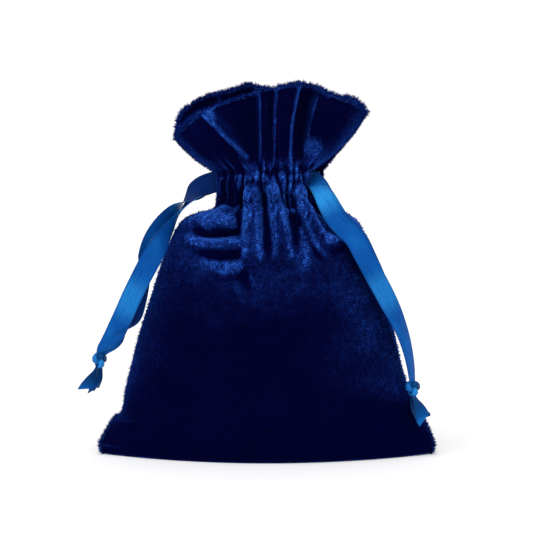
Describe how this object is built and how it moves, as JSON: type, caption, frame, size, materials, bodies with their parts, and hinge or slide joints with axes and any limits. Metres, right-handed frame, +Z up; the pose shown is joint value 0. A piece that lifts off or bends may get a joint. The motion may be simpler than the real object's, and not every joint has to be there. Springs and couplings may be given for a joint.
{
  "type": "drawstring gift pouch",
  "caption": "Soft velvet gift pouch that stands filled out, with a gathered neck and a flared ruffle, drawn shut by two satin ribbon drawstrings whose tails end in knots.",
  "frame": {"origin": "the middle of the base, on the surface that the pouch stands on", "axes": "+Z up from the base to the ruffle's rim; +X to the right, from the left slit to the right one; the front faces -Y"},
  "size_m": [0.1055, 0.038, 0.1123],
  "materials": {
    "velvet": "royal blue polyester velvet, a short crushed pile with a bright sheen at its folds",
    "velvet_facing": "the same velvet, folded down inside the mouth",
    "seam_allowance": "velvet seam allowance, pile side and knitted backing",
    "thread": "blue polyester sewing thread",
    "satin_ribbon": "bright blue polyester satin ribbon with woven edges"
  },
  "bodies": {
    "bag": {"front_panel": "velvet", "back_panel": "velvet", "left_side_seam": "seam_allowance", "right_side_seam": "seam_allowance", "bottom_seam": "seam_allowance", "left_ribbon_turn": "satin_ribbon", "right_ribbon_turn": "satin_ribbon"},
    "front_mouth": {"front_top": "velvet", "front_facing": "velvet_facing", "front_upper_stitching": "thread", "front_lower_stitching": "thread", "left_ribbon_front_run": "satin_ribbon", "right_ribbon_front_run": "satin_ribbon"},
    "back_mouth": {"back_top": "velvet", "back_facing": "velvet_facing", "back_upper_stitching": "thread", "back_lower_stitching": "thread", "left_ribbon_back_run": "satin_ribbon", "right_ribbon_back_run": "satin_ribbon"},
    "left_tail": {"left_ribbon_front_strand": "satin_ribbon", "left_ribbon_back_strand": "satin_ribbon"},
    "left_knot": {"left_ribbon_knot": "satin_ribbon", "left_ribbon_front_end": "satin_ribbon", "left_ribbon_back_end": "satin_ribbon"},
    "right_tail": {"right_ribbon_front_strand": "satin_ribbon", "right_ribbon_back_strand": "satin_ribbon"},
    "right_knot": {"right_ribbon_knot": "satin_ribbon", "right_ribbon_front_end": "satin_ribbon", "right_ribbon_back_end": "satin_ribbon"}
  },
  "joints": [
    {"name": "mouth_opens", "type": "hinge", "parent": "bag", "child": "front_mouth", "pos_m": [0, -0.0155, 0.06], "axis": [1, 0, 0], "range_deg": [0, 18]},
    {"name": "back_opens", "type": "hinge", "parent": "bag", "child": "back_mouth", "pos_m": [0, 0.0155, 0.06], "axis": [-1, 0, 0], "range_deg": [0, 18]},
    {"name": "left_tail_swings", "type": "hinge", "parent": "bag", "child": "left_tail", "pos_m": [-0.0158, 0, 0.0818], "axis": [0, 1, 0], "range_deg": [0, 60], "deforming": ["left_ribbon_front_strand", "left_ribbon_back_strand"]},
    {"name": "right_tail_swings", "type": "hinge", "parent": "bag", "child": "right_tail", "pos_m": [0.0165, 0, 0.082], "axis": [0, -1, 0], "range_deg": [0, 95], "deforming": ["right_ribbon_front_strand", "right_ribbon_back_strand"]},
    {"name": "left_knot_draws_in", "type": "slide", "parent": "left_tail", "child": "left_knot", "axis": [0.4498, -0.0999, 0.8875], "range_m": [0, 0.012], "deforming": ["left_ribbon_front_strand", "left_ribbon_back_strand"]},
    {"name": "right_knot_draws_in", "type": "slide", "parent": "right_tail", "child": "right_knot", "axis": [-0.2001, -0.05, 0.9785], "range_m": [0, 0.012], "deforming": ["right_ribbon_front_strand", "right_ribbon_back_strand"]}
  ],
  "couplings": [
    {"joint": "back_opens", "follows": "mouth_opens", "ratio": 1},
    {"joint": "left_knot_draws_in", "follows": "mouth_opens", "m_per_rad": 0.038},
    {"joint": "right_knot_draws_in", "follows": "mouth_opens", "m_per_rad": 0.038}
  ]
}
